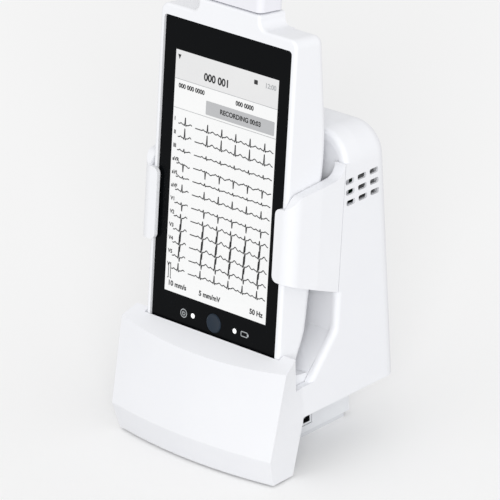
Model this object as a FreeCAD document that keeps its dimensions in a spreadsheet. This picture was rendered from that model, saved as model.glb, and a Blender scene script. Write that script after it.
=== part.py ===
import FreeCAD, Part
import math
import os
from types import SimpleNamespace

import Sketcher

# A handheld twelve-lead heart recorder with a touch screen, standing in its desktop charging dock.
# Millimetres, +Z up, the front faces -Y, and the origin is on the table under the middle of the whole.
# Sizes to the front and to the rear are measured from one line across the dock, a little ahead of the origin.
# The recorder and what rides on it are drawn upright in the recorder's own frame: the origin is at the
# foot of the cover glass, X to the right, Y to the rear, Z up the glass. Its placement leans it back.

os.makedirs("parts", exist_ok=True)
doc = FreeCAD.newDocument("ecg_recorder_with_dock")

# Driving dimensions: name, size in millimetres (angles in degrees), what it is.
DIMENSIONS = [
    ("lean_angle", 8.4, "the recorder leans back from upright by this"),
    ("middle_setback", 2.5, "middle of the whole behind the line that front and rear are measured from"),
    ("seat_forward", 21.2, "foot of the glass ahead of that line"),
    ("seat_height", 46.5, "foot of the recorder above the table"),
    ("slide_gap", 0.3, "clearance round the recorder where it slides in the dock"),
    ("fit_gap", 0.3, "clearance between mouldings that nest"),
    ("thin_gap", 0.15, "clearance of small inserts in their pockets"),
    ("bezel_side", 2.75, "casing beside the cover glass"),
    ("bezel_top", 5.3, "casing above the cover glass"),
    ("case_corner", 4.0, "radius of the casing's long edges"),
    ("case_wall", 2.2, "casing wall"),
    ("face_proud", 1.0, "bezel stands this far ahead of the glass"),
    ("face_round", 1.4, "radius of the bezel's front edge"),
    ("split_depth", 7.5, "parting plane of the casing behind the glass"),
    ("top_depth", 16.5, "casing depth at its top edge"),
    ("hump_depth", 23.2, "casing depth at the battery hump"),
    ("hump_height", 101.0, "height of the hump above the foot"),
    ("hump_round", 120.0, "radius of the hump's back"),
    ("heel_depth", 16.8, "casing depth above the toe"),
    ("heel_height", 17.0, "height where the toe begins to curve forward"),
    ("heel_round", 30.0, "radius of the heel"),
    ("toe_depth", 10.6, "casing depth at its foot"),
    ("toe_round", 4.0, "radius of the toe"),
    ("collar_width", 37.0, "raised collar that carries the connector head"),
    ("collar_height", 6.3, "collar above the casing's top"),
    ("collar_depth", 15.0, "rear face of the collar"),
    ("collar_foot", 4.0, "hollow radius at the collar's foot"),
    ("collar_round", 1.5, "radius of the collar's upper corners"),
    ("border_side", 7.12, "black border of the glass beside the screen"),
    ("border_low", 15.355, "black border below the screen"),
    ("border_top", 14.355, "black border above the screen"),
    ("glass_foot", 5.8, "lower edge of the glass above the foot"),
    ("glass_thick", 1.6, "cover glass thickness"),
    ("glass_corner", 1.5, "corner radius of the glass"),
    ("gasket_thick", 0.6, "foam gasket under the glass"),
    ("ledge_thick", 2.0, "ledge of the bezel that carries the gasket"),
    ("screen_width", 62.26, "lit area of the display"),
    ("screen_height", 110.69, "lit area of the display"),
    ("display_border", 1.2, "dark border of the display module"),
    ("display_thick", 3.2, "display module thickness"),
    ("button_diameter", 8.8, "round push button in the glass"),
    ("button_drop", 7.705, "middle of the button below the screen"),
    ("button_gap", 0.2, "ring gap between the button and the glass"),
    ("button_travel", 0.6, "how far the button goes in"),
    ("flange_diameter", 9.8, "collar that keeps the button behind the glass"),
    ("flange_thick", 0.8, "thickness of that collar"),
    ("stem_diameter", 3.0, "stem behind the button"),
    ("stem_end", 4.5, "rear end of the stem behind the glass face"),
    ("lamp_offset", 12.9, "status lamps left and right of the button"),
    ("lamp_diameter", 2.2, "status light pipe"),
    ("board_depth", 8.0, "front face of the main board"),
    ("board_thick", 1.6, "circuit board thickness"),
    ("board_margin", 1.8, "main board in from the casing's inner sides"),
    ("board_foot", 22.0, "lower edge of the main board"),
    ("board_headroom", 7.5, "main board below the casing's top"),
    ("boss_diameter", 6.0, "screw boss under a board"),
    ("battery_width", 52.0, "battery pack, side to side"),
    ("battery_height", 52.0, "battery pack, bottom to top"),
    ("battery_foot", 68.0, "lower edge of the battery pack"),
    ("battery_thick", 9.0, "battery pack thickness"),
    ("door_seat", 19.3, "depth of the battery door's seat"),
    ("door_border", 1.8, "battery door beyond the battery on each side"),
    ("pad_count", 5, "charging contacts, an odd count"),
    ("pad_pitch", 6.0, "charging contacts, middle to middle"),
    ("pad_width", 4.0, "contact pad, side to side"),
    ("pad_depth", 3.0, "contact pad, front to rear"),
    ("pad_thick", 0.8, "contact pad thickness"),
    ("pad_setback", 3.0, "row of contacts behind the glass face"),
    ("head_height", 15.0, "connector head above the shadow gap"),
    ("head_shadow", 0.8, "shadow gap between the collar and the head"),
    ("head_round", 3.0, "corner radius of the connector head"),
    ("neck_width", 27.2, "neck of the head inside the collar"),
    ("neck_depth", 10.0, "neck, front to rear"),
    ("neck_setback", 2.0, "front of the neck behind the glass face"),
    ("neck_length", 6.6, "neck below the head"),
    ("socket_width", 26.0, "mouth of the patient lead socket"),
    ("socket_depth", 8.0, "mouth, front to rear"),
    ("socket_deep", 11.0, "depth of the mouth"),
    ("socket_floor", 4.5, "insulator at the bottom of the mouth"),
    ("pin_pitch", 2.8, "socket pins, middle to middle"),
    ("pin_diameter", 1.0, "socket pin"),
    ("pin_length", 4.0, "socket pin above the insulator"),
    ("arm_wall", 5.9, "arm beside the recorder, out to the housing's side"),
    ("dock_rear", 47.0, "rear face behind the line"),
    ("dock_top", 147.3, "top of the housing"),
    ("dock_crest", 31.0, "where the top begins to fall to the rear"),
    ("dock_fall", 1.6, "fall of the top to the rear edge"),
    ("dock_skirt", 26.0, "lower edge of the side walls"),
    ("dock_wall", 3.5, "side wall of the housing"),
    ("dock_shell", 3.0, "rear and top wall of the housing"),
    ("dock_shoulder", 15.0, "radius of the housing's upper side edges"),
    ("dock_corner", 7.0, "radius of the housing's rear edges"),
    ("rim_round", 2.4, "radius of the rim round the cradle"),
    ("rim_plane", 28.0, "front rim of the housing behind the glass face"),
    ("scoop_height", 59.5, "where the rim turns forward below the finger scoop"),
    ("scoop_round", 5.0, "radius of the rim where it turns"),
    ("sill_height", 40.5, "floor of the finger scoop"),
    ("sill_rear", 8.7, "rear end of the sill ahead of the line"),
    ("cheek_rear", 18.5, "rear end of the apron's cheeks ahead of the line"),
    ("apron_foot", 1.0, "lower edge of the apron above the table"),
    ("apron_break", 13.5, "line where the apron turns back under"),
    ("apron_tall", 58.0, "height to which the apron is drawn before its ledge is cut"),
    ("apron_foot_front", 35.0, "apron corner at its foot ahead of the line"),
    ("apron_break_front", 37.5, "apron corner at the break"),
    ("apron_tall_front", 24.9, "apron corner at its drawn height"),
    ("apron_foot_flare", 0.4, "apron beyond the housing's side at its foot"),
    ("apron_break_flare", 1.9, "apron beyond the housing's side at the break"),
    ("apron_tall_flare", 3.7, "apron beyond the housing's side at its drawn height"),
    ("apron_bow", 4.5, "bow of the apron's front in plan"),
    ("leg_rear", 22.25, "rear of the leg at its foot ahead of the line"),
    ("leg_slope", 0.342, "leg goes back this much for each unit of height"),
    ("ledge_front", 52.2, "height of the apron's ledge at its outer edge"),
    ("ledge_out", 26.5, "outer edge of the ledge ahead of the line"),
    ("ledge_slope", 0.47, "rise of the ledge towards the glass"),
    ("vent_length", 5.4, "vent slot"),
    ("vent_height", 2.5, "vent slot"),
    ("vent_pitch_y", 7.65, "vent slots along a row"),
    ("vent_pitch_z", 4.9, "vent rows"),
    ("vent_first_y", 21.9, "middle of the first vent behind the line"),
    ("vent_first_z", 116.4, "middle of the lowest row of vents"),
    ("vent_count", 3, "vents in a row, and rows"),
    ("vent_round", 0.8, "corner radius of a vent"),
    ("vent_web", 1.2, "wall left round the vents"),
    ("panel_thick", 2.5, "back panel and floor of the cradle"),
    ("panel_setback", 1.0, "back panel behind the housing's rim"),
    ("panel_bend", 16.0, "where the back panel turns forward to the floor"),
    ("floor_rear", 14.5, "rear end of the cradle's floor"),
    ("lip_reach", 4.9, "lip over the recorder's face, in from its side"),
    ("lip_thick", 1.9, "lip thickness"),
    ("arm_gap", 0.6, "arm beside the recorder"),
    ("arm_corner", 6.5, "radius of the arm's front corner"),
    ("arm_front_wall", 4.6, "arm wall at its front corner"),
    ("arm_crown", 93.5, "highest line of the arms along the rim"),
    ("arm_lip_top", 76.6, "top of the lip"),
    ("arm_shoulder", 82.4, "top of the arm beside the glass"),
    ("arm_shoulder_depth", 1.5, "where the arm's top turns down to the lip, behind the glass face"),
    ("arm_shoulder_round", 5.0, "radius there"),
    ("arm_bulge", 14.0, "where the arm's side reaches the housing's width, behind the glass face"),
    ("rim_edge", 0.6, "arm left along the rim above the notch"),
    ("arm_notch", 87.6, "where the arm's top turns up along the rim"),
    ("arm_notch_round", 6.5, "hollow radius there"),
    ("arm_lip_foot", 43.2, "bottom of the lip"),
    ("arm_rear_foot", 35.0, "bottom of the arm at the rim"),
    ("lip_corner", 3.0, "corner radius of the lips"),
    ("spigot_depth", 6.5, "cradle's side flanges inside the housing"),
    ("rib_width", 3.0, "rest rib on the back panel"),
    ("rib_offset", 20.0, "rest ribs left and right of the middle"),
    ("block_depth", 7.2, "contact block, front to rear"),
    ("block_height", 7.0, "contact block, bottom to top"),
    ("block_margin", 3.6, "contact block beyond the outer pins"),
    ("block_flange", 3.0, "flange of the contact block under the floor"),
    ("spring_pin_diameter", 1.5, "spring contact pin"),
    ("spring_pin_length", 4.6, "contact pin, tip to root"),
    ("base_width", 46.0, "base block under the housing"),
    ("base_front", 10.0, "front of the base block ahead of the line"),
    ("base_rear", 40.3, "rear of the base block behind the line"),
    ("base_foot", 2.0, "underside of the base block above the table"),
    ("base_plate", 2.5, "plate that closes the housing from below"),
    ("base_wall", 3.0, "wall of the base block"),
    ("foot_width", 14.0, "rubber foot, side to side"),
    ("foot_length", 44.0, "rear rubber foot, front to rear"),
    ("foot_inset", 3.5, "rear foot in from the rear of the base block"),
    ("front_foot_length", 7.0, "front rubber foot, front to rear"),
    ("front_foot_inset", 13.5, "middle of a front foot in from the housing's side"),
    ("front_foot_middle", 30.5, "front feet ahead of the line"),
    ("ballast_width", 26.0, "steel ballast, side to side"),
    ("ballast_height", 8.0, "steel ballast, bottom to top"),
    ("inlet_y", 12.8, "power socket behind the line"),
    ("inlet_z", 8.3, "power socket above the table"),
    ("inlet_side", 6.0, "power socket nose, both ways"),
    ("inlet_mouth", 4.4, "power socket mouth, both ways"),
    ("inlet_deep", 9.0, "depth of the power socket's mouth"),
    ("inlet_pin", 1.2, "middle pin of the power socket, and the wall behind it"),
    ("inlet_body", 9.0, "power socket housing behind the wall"),
    ("screw_shank", 3.0, "screw shank"),
    ("screw_head", 5.4, "screw head"),
    ("screw_head_high", 2.0, "screw head height"),
    ("screw_length", 9.0, "screw below its head"),
    ("screw_gap", 0.2, "screw in its hole, on each side"),
    ("charger_width", 70.0, "charger board, side to side"),
    ("charger_height", 76.0, "charger board, bottom to top"),
    ("charger_foot", 58.0, "lower edge of the charger board"),
    ("charger_setback", 4.4, "charger board's posts on the rear wall"),
    ("module_width", 40.0, "power converter, side to side"),
    ("module_height", 36.0, "power converter, bottom to top"),
    ("module_thick", 11.0, "power converter, front to rear"),
    ("module_foot", 92.0, "lower edge of the power converter"),
]

sheet = doc.addObject("Spreadsheet::Sheet", "dims")
for row, (alias, number, note) in enumerate(DIMENSIONS, start=1):
    sheet.set(f"A{row}", alias)
    sheet.set(f"B{row}", str(number))
    sheet.setAlias(f"B{row}", alias)
    sheet.set(f"C{row}", note)
doc.recompute()


class Size:
    """A size that carries its value and the expression that keeps it bound to the sheet."""

    def __init__(self, value, text):
        self.value = value
        self.text = text

    def __add__(self, other):
        other = sized(other)
        return Size(self.value + other.value, f"({self.text} + {other.text})")

    def __radd__(self, other):
        return sized(other) + self

    def __sub__(self, other):
        other = sized(other)
        return Size(self.value - other.value, f"({self.text} - {other.text})")

    def __rsub__(self, other):
        return sized(other) - self

    def __mul__(self, other):
        other = sized(other)
        return Size(self.value * other.value, f"({self.text} * {other.text})")

    def __rmul__(self, other):
        return sized(other) * self

    def __truediv__(self, other):
        other = sized(other)
        return Size(self.value / other.value, f"({self.text} / {other.text})")

    def __neg__(self):
        return Size(-self.value, f"(-1 * {self.text})")


def sized(number):
    """A plain number as a size."""
    return number if isinstance(number, Size) else Size(float(number), str(float(number)))


d = SimpleNamespace(**{alias: Size(float(number), f"dims.{alias}") for alias, number, note in DIMENSIONS})
COS = Size(math.cos(math.radians(d.lean_angle.value)), "cos(dims.lean_angle)")
SIN = Size(math.sin(math.radians(d.lean_angle.value)), "sin(dims.lean_angle)")
TAN = Size(math.tan(math.radians(d.lean_angle.value)), "tan(dims.lean_angle)")


def bind(thing, path, size):
    """Ties one property of an object to the sheet."""
    thing.setExpression(path, sized(size).text)


def new_part(name, leaning=False):
    """An empty sub-part; a leaning one is drawn in the recorder's frame."""
    body = doc.addObject("PartDesign::Body", name)
    body.Label = name
    body.AllowCompound = True
    bind(body, ".Placement.Base.y", -d.middle_setback)
    if leaning:
        body.Placement = FreeCAD.Placement(
            FreeCAD.Vector(0, 0, 0), FreeCAD.Rotation(FreeCAD.Vector(1, 0, 0), -d.lean_angle.value)
        )
        bind(body, ".Placement.Base.y", -d.seat_forward - d.middle_setback)
        bind(body, ".Placement.Base.z", d.seat_height)
        body.setExpression(".Placement.Rotation.Angle", "-dims.lean_angle * 1deg")
    return body


def new_sketch(body, name, role, offset=0.0):
    """A sketch on one of the body's own planes, moved along the plane's normal."""
    sketch = body.newObject("Sketcher::SketchObject", name)
    plane = [feature for feature in body.Origin.OriginFeatures if feature.Role == role][0]
    sketch.AttachmentSupport = [(plane, "")]
    sketch.MapMode = "FlatFace"
    sketch.AttachmentOffset = FreeCAD.Placement(FreeCAD.Vector(0, 0, sized(offset).value), FreeCAD.Rotation())
    bind(sketch, ".AttachmentOffset.Base.z", offset)
    return sketch


def pinned(geometry, point, across, up):
    """Rules that fix a sketch point at its distances from the sketch's origin."""
    rules = []
    for kind, size, axis in (("DistanceX", across, -2), ("DistanceY", up, -1)):
        size = sized(size)
        if size.value == 0:
            rules.append((Sketcher.Constraint("PointOnObject", geometry, point, axis), None))
        else:
            rules.append((Sketcher.Constraint(kind, -1, 1, geometry, point, size.value), size.text))
    return rules


def add_rules(sketch, rules):
    """Adds all rules of a loop at once, and ties the sized ones to the sheet."""
    first = sketch.ConstraintCount
    sketch.addConstraint([rule for rule, text in rules])
    for index, (rule, text) in enumerate(rules, start=first):
        if text:
            sketch.setExpression(f"Constraints[{index}]", text)


def outline(sketch, corners):
    """A closed loop of straight edges; a corner is (across, up) or (across, up, radius)."""
    spots = [FreeCAD.Vector(sized(c[0]).value, sized(c[1]).value, 0) for c in corners]
    count = len(spots)
    entry = []
    leave = []
    arcs = []
    turns = []
    for i, corner in enumerate(corners):
        here = spots[i]
        back = (spots[i - 1] - here).normalize()
        ahead = (spots[(i + 1) % count] - here).normalize()
        radius = sized(corner[2]).value if len(corner) == 3 else 0.0
        half = math.acos(max(-1.0, min(1.0, back.dot(ahead)))) / 2
        reach = radius / math.tan(half)
        entry.append(here + back * reach)
        leave.append(here + ahead * reach)
        turns.append(None)
        if not radius:
            continue
        middle = here + (back + ahead).normalize() * (radius / math.sin(half))
        start, end = entry[i] - middle, leave[i] - middle
        turns[i] = start.cross(end).z > 0
        first, last = (start, end) if turns[i] else (end, start)
        ring = Part.Circle(middle, FreeCAD.Vector(0, 0, 1), radius)
        arcs.append(Part.ArcOfCircle(ring, math.atan2(first.y, first.x), math.atan2(last.y, last.x)))
    lines = sketch.addGeometry([Part.LineSegment(leave[i], entry[(i + 1) % count]) for i in range(count)])
    rounded = [i for i in range(count) if turns[i] is not None]
    arc_at = dict(zip(rounded, sketch.addGeometry(arcs))) if arcs else {}
    tips = [Part.Point(spots[i]) for i in rounded]
    tip_at = dict(zip(rounded, sketch.addGeometry(tips, True))) if arcs else {}
    rules = []
    for i, corner in enumerate(corners):
        before, after = lines[i - 1], lines[i]
        if i not in arc_at:
            rules.append((Sketcher.Constraint("Coincident", before, 2, after, 1), None))
            rules.extend(pinned(after, 1, corner[0], corner[1]))
            continue
        arc, tip, radius = arc_at[i], tip_at[i], sized(corner[2])
        enters, leaves = (1, 2) if turns[i] else (2, 1)
        rules.append((Sketcher.Constraint("Tangent", before, 2, arc, enters), None))
        rules.append((Sketcher.Constraint("Tangent", after, 1, arc, leaves), None))
        rules.append((Sketcher.Constraint("Radius", arc, radius.value), radius.text))
        rules.append((Sketcher.Constraint("PointOnObject", tip, 1, before), None))
        rules.append((Sketcher.Constraint("PointOnObject", tip, 1, after), None))
        rules.extend(pinned(tip, 1, corner[0], corner[1]))
    add_rules(sketch, rules)


def rectangle(sketch, left, right, low, high, radius=None):
    """A rectangle, with its corners rounded if a radius is given."""
    tail = () if radius is None else (radius,)
    outline(sketch, [(left, low) + tail, (right, low) + tail, (right, high) + tail, (left, high) + tail])


def circle(sketch, across, up, diameter):
    """A circle by its middle and its diameter."""
    size = sized(diameter)
    spot = FreeCAD.Vector(sized(across).value, sized(up).value, 0)
    ring = sketch.addGeometry(Part.Circle(spot, FreeCAD.Vector(0, 0, 1), size.value / 2))
    width_rule = (Sketcher.Constraint("Diameter", ring, size.value), size.text)
    add_rules(sketch, pinned(ring, 3, across, up) + [width_rule])


def extrude(body, kind, sketch, length, reverse=False, both=False):
    """A pad or pocket of a sketch; both spreads the length to either side of the sketch."""
    feature = body.newObject(f"PartDesign::{kind}", f"{sketch.Name}_{kind.lower()}")
    feature.Profile = sketch
    bind(feature, "Length", length)
    feature.Reversed = reverse
    feature.Midplane = both
    sketch.Visibility = False
    doc.recompute()
    return feature


def place_primitive(feature, x, y, z):
    """Puts a primitive's own origin at a place in its body's frame."""
    bind(feature, ".Placement.Base.x", x)
    bind(feature, ".Placement.Base.y", y)
    bind(feature, ".Placement.Base.z", z)


def box(body, kind, x, y, z):
    """Adds or cuts a box between two limits on each axis; kind is Additive or Subtractive."""
    feature = body.newObject(f"PartDesign::{kind}Box", f"{body.Name}_{kind.lower()}_box")
    bind(feature, "Length", x[1] - x[0])
    bind(feature, "Width", y[1] - y[0])
    bind(feature, "Height", z[1] - z[0])
    place_primitive(feature, x[0], y[0], z[0])
    return feature


AXES = {
    "x": FreeCAD.Rotation(FreeCAD.Vector(0, 1, 0), 90),
    "y": FreeCAD.Rotation(FreeCAD.Vector(1, 0, 0), -90),
    "z": FreeCAD.Rotation(),
}


def rod(body, kind, axis, x, y, z, diameter, length):
    """Adds or cuts a cylinder that starts at a place and runs along +X, +Y or +Z."""
    feature = body.newObject(f"PartDesign::{kind}Cylinder", f"{body.Name}_{kind.lower()}_rod")
    feature.Placement = FreeCAD.Placement(FreeCAD.Vector(), AXES[axis])
    bind(feature, "Radius", sized(diameter) / 2)
    bind(feature, "Height", length)
    place_primitive(feature, x, y, z)
    return feature


def round_edges(body, radius, wanted):
    """Rounds the edges of the body's last feature that pass a test."""
    doc.recompute()
    base = body.Tip
    names = [f"Edge{i}" for i, edge in enumerate(base.Shape.Edges, start=1) if wanted(edge)]
    fillet = body.newObject("PartDesign::Fillet", f"{body.Name}_round")
    fillet.Base = (base, names)
    bind(fillet, "Radius", radius)
    doc.recompute()
    return fillet


def mirrored(side, inner, outer):
    """Limits across of what lies between two distances from the middle, on the left (-1) or right (1)."""
    return (-outer, -inner) if side < 0 else (inner, outer)


def near(a, b):
    """True where two coordinates are the same."""
    return abs(a - b) < 1e-4


def on_side(edge, half):
    """True where an edge lies in the left or the right side plane."""
    places = [v.X for v in edge.Vertexes]
    return all(near(x, half.value) for x in places) or all(near(x, -half.value) for x in places)


# Values that several pieces share
glass_half = d.screen_width / 2 + d.border_side
screen_foot = d.glass_foot + d.border_low
screen_top = screen_foot + d.screen_height
glass_top = screen_top + d.border_top
case_half = glass_half + d.bezel_side
case_top = glass_top + d.bezel_top
inner_half = case_half - d.case_wall
collar_half = d.collar_width / 2
collar_top = case_top + d.collar_height
ledge_plane = d.glass_thick + d.gasket_thick
ledge_rear = ledge_plane + d.ledge_thick
display_half = d.screen_width / 2 + d.display_border
display_foot = screen_foot - d.display_border
display_top = screen_top + d.display_border
window_half = display_half + d.fit_gap
window_foot = display_foot - d.fit_gap
window_top = display_top + d.fit_gap
button_up = screen_foot - d.button_drop
button_bore = d.flange_diameter + d.button_gap * 2
lamp_bore = d.lamp_diameter + d.button_gap * 2
lamps = (-d.lamp_offset, d.lamp_offset)
board_rear = d.board_depth + d.board_thick
board_half = inner_half - d.board_margin
board_top = case_top - d.board_headroom
battery_half = d.battery_width / 2
battery_top = d.battery_foot + d.battery_height
battery_front = board_rear + d.fit_gap
door_half = battery_half + d.door_border
door_foot = d.battery_foot - d.door_border
door_top = battery_top + d.door_border
neck_half = d.neck_width / 2
neck_rear = d.neck_setback + d.neck_depth
pad_half_count = (int(d.pad_count.value) - 1) // 2
pads_across = [d.pad_pitch * step for step in range(-pad_half_count, pad_half_count + 1)]
well_half = case_half + d.arm_gap
dock_half = well_half + d.arm_wall
dock_inner = dock_half - d.dock_wall
cradle_half = dock_inner - d.fit_gap


def casing_profile(sketch):
    """Side view of the casing's rear half: toe, heel, hump and the fall to the top edge."""
    outline(sketch, [
        (d.split_depth, 0),
        (d.toe_depth, 0, d.toe_round),
        (d.heel_depth, d.heel_height, d.heel_round),
        (d.hump_depth, d.hump_height, d.hump_round),
        (d.top_depth, case_top, d.toe_round),
        (d.split_depth, case_top),
    ])


# Recorder: front bezel with the glass recess, its ledge and the front half of the collar
bezel = new_part("front_bezel", leaning=True)
sketch = new_sketch(bezel, "bezel_face", "XZ_Plane", -d.split_depth)
outline(sketch, [
    (-case_half, 0, d.case_corner),
    (case_half, 0, d.case_corner),
    (case_half, case_top, d.case_corner),
    (collar_half, case_top, d.collar_foot),
    (collar_half, collar_top, d.collar_round),
    (-collar_half, collar_top, d.collar_round),
    (-collar_half, case_top, d.collar_foot),
    (-case_half, case_top, d.case_corner),
])
extrude(bezel, "Pad", sketch, d.split_depth + d.face_proud)
round_edges(bezel, d.face_round, lambda e: all(near(v.Y, -d.face_proud.value) for v in e.Vertexes))
sketch = new_sketch(bezel, "glass_recess", "XZ_Plane", d.face_proud)
rectangle(
    sketch, -glass_half - d.fit_gap, glass_half + d.fit_gap, d.glass_foot - d.fit_gap, glass_top + d.fit_gap,
    d.glass_corner + d.fit_gap,
)
extrude(bezel, "Pocket", sketch, d.face_proud + ledge_plane)
sketch = new_sketch(bezel, "display_window", "XZ_Plane", d.face_proud)
rectangle(sketch, -window_half, window_half, window_foot, window_top)
circle(sketch, 0, button_up, button_bore)
for lamp in lamps:
    circle(sketch, lamp, button_up, lamp_bore)
extrude(bezel, "Pocket", sketch, d.face_proud + d.split_depth)
sketch = new_sketch(bezel, "bezel_inside", "XZ_Plane", -d.split_depth)
rectangle(
    sketch, -inner_half, inner_half, d.case_wall, case_top - d.case_wall, d.case_wall
)
extrude(bezel, "Pocket", sketch, d.split_depth - ledge_rear, reverse=True)
box(
    bezel, "Subtractive", (-neck_half - d.fit_gap, neck_half + d.fit_gap),
    (d.neck_setback - d.fit_gap, d.split_depth + d.fit_gap),
    (case_top - d.case_wall * 2, collar_top + d.fit_gap),
)
pads_half = pads_across[-1] + d.pad_width / 2 + d.thin_gap
box(
    bezel, "Subtractive", (-pads_half, pads_half),
    (d.pad_setback - d.pad_depth / 2 - d.thin_gap, d.pad_setback + d.pad_depth / 2 + d.thin_gap),
    (-d.fit_gap, d.pad_thick + d.thin_gap),
)

# Recorder: rear shell with the battery hump, the stepped inside and the rear half of the collar
shell = new_part("rear_shell", leaning=True)
sketch = new_sketch(shell, "shell_side", "YZ_Plane")
casing_profile(sketch)
extrude(shell, "Pad", sketch, case_half * 2, both=True)
round_edges(
    shell, d.case_corner,
    lambda e: on_side(e, case_half) and not all(near(v.Y, d.split_depth.value) for v in e.Vertexes),
)
sketch = new_sketch(shell, "collar_rear", "XZ_Plane", -d.collar_depth)
collar_root = collar_half + d.collar_foot * 1.5
outline(sketch, [
    (-collar_root, case_top - d.case_wall),
    (collar_root, case_top - d.case_wall),
    (collar_root, case_top),
    (collar_half, case_top, d.collar_foot),
    (collar_half, collar_top, d.collar_round),
    (-collar_half, collar_top, d.collar_round),
    (-collar_half, case_top, d.collar_foot),
    (-collar_root, case_top),
])
extrude(shell, "Pad", sketch, d.collar_depth - d.split_depth)
low_floor = d.heel_depth - d.case_wall
hump_floor = d.door_seat - d.case_wall / 2
top_floor = d.top_depth - d.case_wall * 1.5
cavity_foot = d.board_foot - d.case_wall
for foot, head, floor in (
    (cavity_foot, door_foot, low_floor),
    (door_foot, door_top, hump_floor),
    (door_top, case_top - d.case_wall * 2, top_floor),
):
    box(shell, "Subtractive", (-inner_half, inner_half), (d.split_depth - d.fit_gap, floor), (foot, head))
boss_across = board_half - d.boss_diameter / 2
boss_low = d.board_foot + d.boss_diameter / 2
boss_high = board_top - d.boss_diameter / 2
for height, floor in ((boss_low, low_floor), (boss_high, top_floor)):
    for across in (-boss_across, boss_across):
        reach = floor + d.fit_gap - board_rear
        rod(shell, "Additive", "y", across, board_rear, height, d.boss_diameter, reach)
box(
    shell, "Subtractive", (-door_half - d.fit_gap, door_half + d.fit_gap),
    (d.door_seat, d.hump_depth + d.case_wall), (door_foot - d.fit_gap, door_top + d.fit_gap),
)
box(
    shell, "Subtractive", (-battery_half - d.fit_gap, battery_half + d.fit_gap),
    (hump_floor - d.fit_gap, d.hump_depth), (d.battery_foot - d.fit_gap, battery_top + d.fit_gap),
)
box(
    shell, "Subtractive", (-neck_half - d.fit_gap, neck_half + d.fit_gap),
    (d.split_depth - d.fit_gap, neck_rear + d.fit_gap), (case_top - d.case_wall * 3, collar_top + d.fit_gap),
)
screw_bore = d.screw_shank + d.screw_gap * 2
screw_seat = d.screw_head + d.screw_gap * 2
case_screw_foot = cavity_foot - d.screw_head
case_screw_across = inner_half - d.screw_head
case_screw_seat = d.split_depth + d.case_wall
for across in (-case_screw_across, case_screw_across):
    rod(
        shell, "Subtractive", "y", across, d.split_depth - d.fit_gap, case_screw_foot, screw_bore,
        d.case_wall + d.fit_gap * 2,
    )
    rod(shell, "Subtractive", "y", across, case_screw_seat, case_screw_foot, screw_seat, d.hump_depth)

# Recorder: cover glass with the hole for the button
glass = new_part("cover_glass", leaning=True)
sketch = new_sketch(glass, "glass_face", "XZ_Plane")
rectangle(sketch, -glass_half, glass_half, d.glass_foot, glass_top, d.glass_corner)
circle(sketch, 0, button_up, d.button_diameter + d.button_gap * 2)
extrude(glass, "Pad", sketch, d.glass_thick, reverse=True)

# Recorder: foam gasket between the glass and the bezel's ledge
gasket = new_part("glass_gasket", leaning=True)
sketch = new_sketch(gasket, "gasket_face", "XZ_Plane", -d.glass_thick)
rectangle(sketch, -glass_half, glass_half, d.glass_foot, glass_top, d.glass_corner)
rectangle(sketch, -window_half, window_half, window_foot, window_top)
circle(sketch, 0, button_up, button_bore)
for lamp in lamps:
    circle(sketch, lamp, button_up, lamp_bore)
extrude(gasket, "Pad", sketch, d.gasket_thick, reverse=True)

# Recorder: display module bonded to the back of the glass
display = new_part("display_module", leaning=True)
box(
    display, "Additive", (-display_half, display_half), (d.glass_thick, d.glass_thick + d.display_thick),
    (display_foot, display_top),
)

# Recorder: the round push button, with the collar and stem behind the glass
button = new_part("home_button", leaning=True)
flange_front = d.glass_thick + d.fit_gap
flange_rear = flange_front + d.flange_thick
rod(button, "Additive", "y", 0, 0, button_up, d.button_diameter, flange_front)
rod(button, "Additive", "y", 0, flange_front, button_up, d.flange_diameter, d.flange_thick)
rod(button, "Additive", "y", 0, flange_rear, button_up, d.stem_diameter, d.stem_end - flange_rear)

# Recorder: key board behind the button, the switch on it and the light pipes of the status lamps
key_board_rear = d.split_depth - d.fit_gap
key_board_front = key_board_rear - d.board_thick / 2
key_board_half = d.lamp_offset + d.lamp_diameter * 2
key_board_high = d.lamp_diameter * 2
key_board = new_part("key_board", leaning=True)
box(
    key_board, "Additive", (-key_board_half, key_board_half), (key_board_front, key_board_rear),
    (button_up - key_board_high, button_up + key_board_high),
)
switch = new_part("button_switch", leaning=True)
switch_front = d.stem_end + d.button_travel + d.thin_gap
switch_half = d.stem_diameter
box(
    switch, "Additive", (-switch_half, switch_half), (switch_front, key_board_front),
    (button_up - switch_half, button_up + switch_half),
)
pipes = new_part("light_pipes", leaning=True)
for lamp in lamps:
    rod(
        pipes, "Additive", "y", lamp, d.glass_thick, button_up, d.lamp_diameter,
        key_board_front - d.glass_thick - d.thin_gap,
    )

# Recorder: main board on its bosses, the shielded input stage and the sounder
main_board = new_part("main_board", leaning=True)
box(
    main_board, "Additive", (-board_half, board_half), (d.board_depth, board_rear), (d.board_foot, board_top),
)
shield = new_part("input_shield", leaning=True)
shield_half = board_half / 2
shield_rear = low_floor - d.fit_gap * 2
shield_foot = d.board_foot + d.boss_diameter
shield_top = door_foot - d.boss_diameter
box(shield, "Additive", (-shield_half, shield_half), (board_rear, shield_rear), (shield_foot, shield_top))
round_edges(shield, d.glass_corner, lambda e: near(abs(e.tangentAt(e.FirstParameter).y), 1))
sounder = new_part("sounder", leaning=True)
sounder_diameter = d.boss_diameter * 2.5
rod(
    sounder, "Additive", "y", -shield_half - sounder_diameter / 2 - d.fit_gap, board_rear,
    (shield_foot + shield_top) / 2, sounder_diameter, shield_rear - board_rear,
)

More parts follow.
